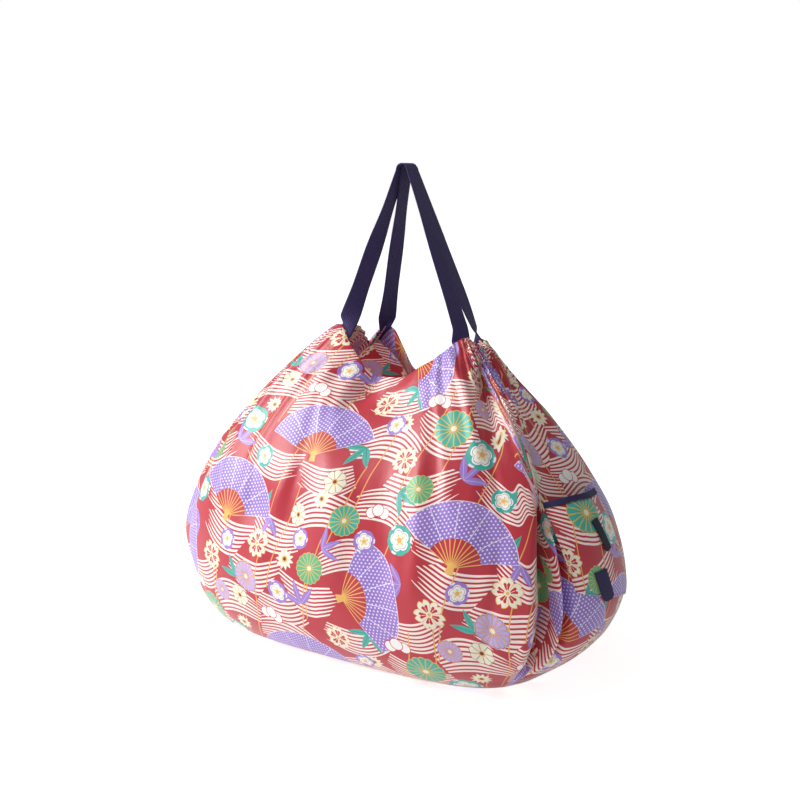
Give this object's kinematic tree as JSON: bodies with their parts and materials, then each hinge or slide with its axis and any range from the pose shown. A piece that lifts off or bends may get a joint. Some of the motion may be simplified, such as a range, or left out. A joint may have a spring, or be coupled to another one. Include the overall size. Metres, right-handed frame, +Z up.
{
  "type": "foldable shopping bag",
  "caption": "Soft printed cloth shopping bag with a gathered mouth, webbing handles drawn up to a peak and a bound patch pocket on one end.",
  "frame": {"origin": "on the ground, under the middle of the bag's bounding box", "axes": "+Z up, +X along the bag towards the pocket end, -Y towards the front face"},
  "size_m": [0.6438, 0.353, 0.6347],
  "materials": {
    "printed_cloth": "smooth thin woven polyester with a soft sheen, printed with flowers, fans and wave lines on red",
    "webbing": "flat woven navy purple webbing",
    "binding_tape": "dark navy woven tape",
    "label_cloth": "near-black navy woven label, plain"
  },
  "bodies": {
    "root": {"bag_body": "printed_cloth", "handle_front": "webbing", "handle_back": "webbing", "pocket_panel": "printed_cloth", "pocket_binding": "binding_tape", "label_tab": "label_cloth", "closing_tab": "binding_tape"}
  },
  "joints": []
}
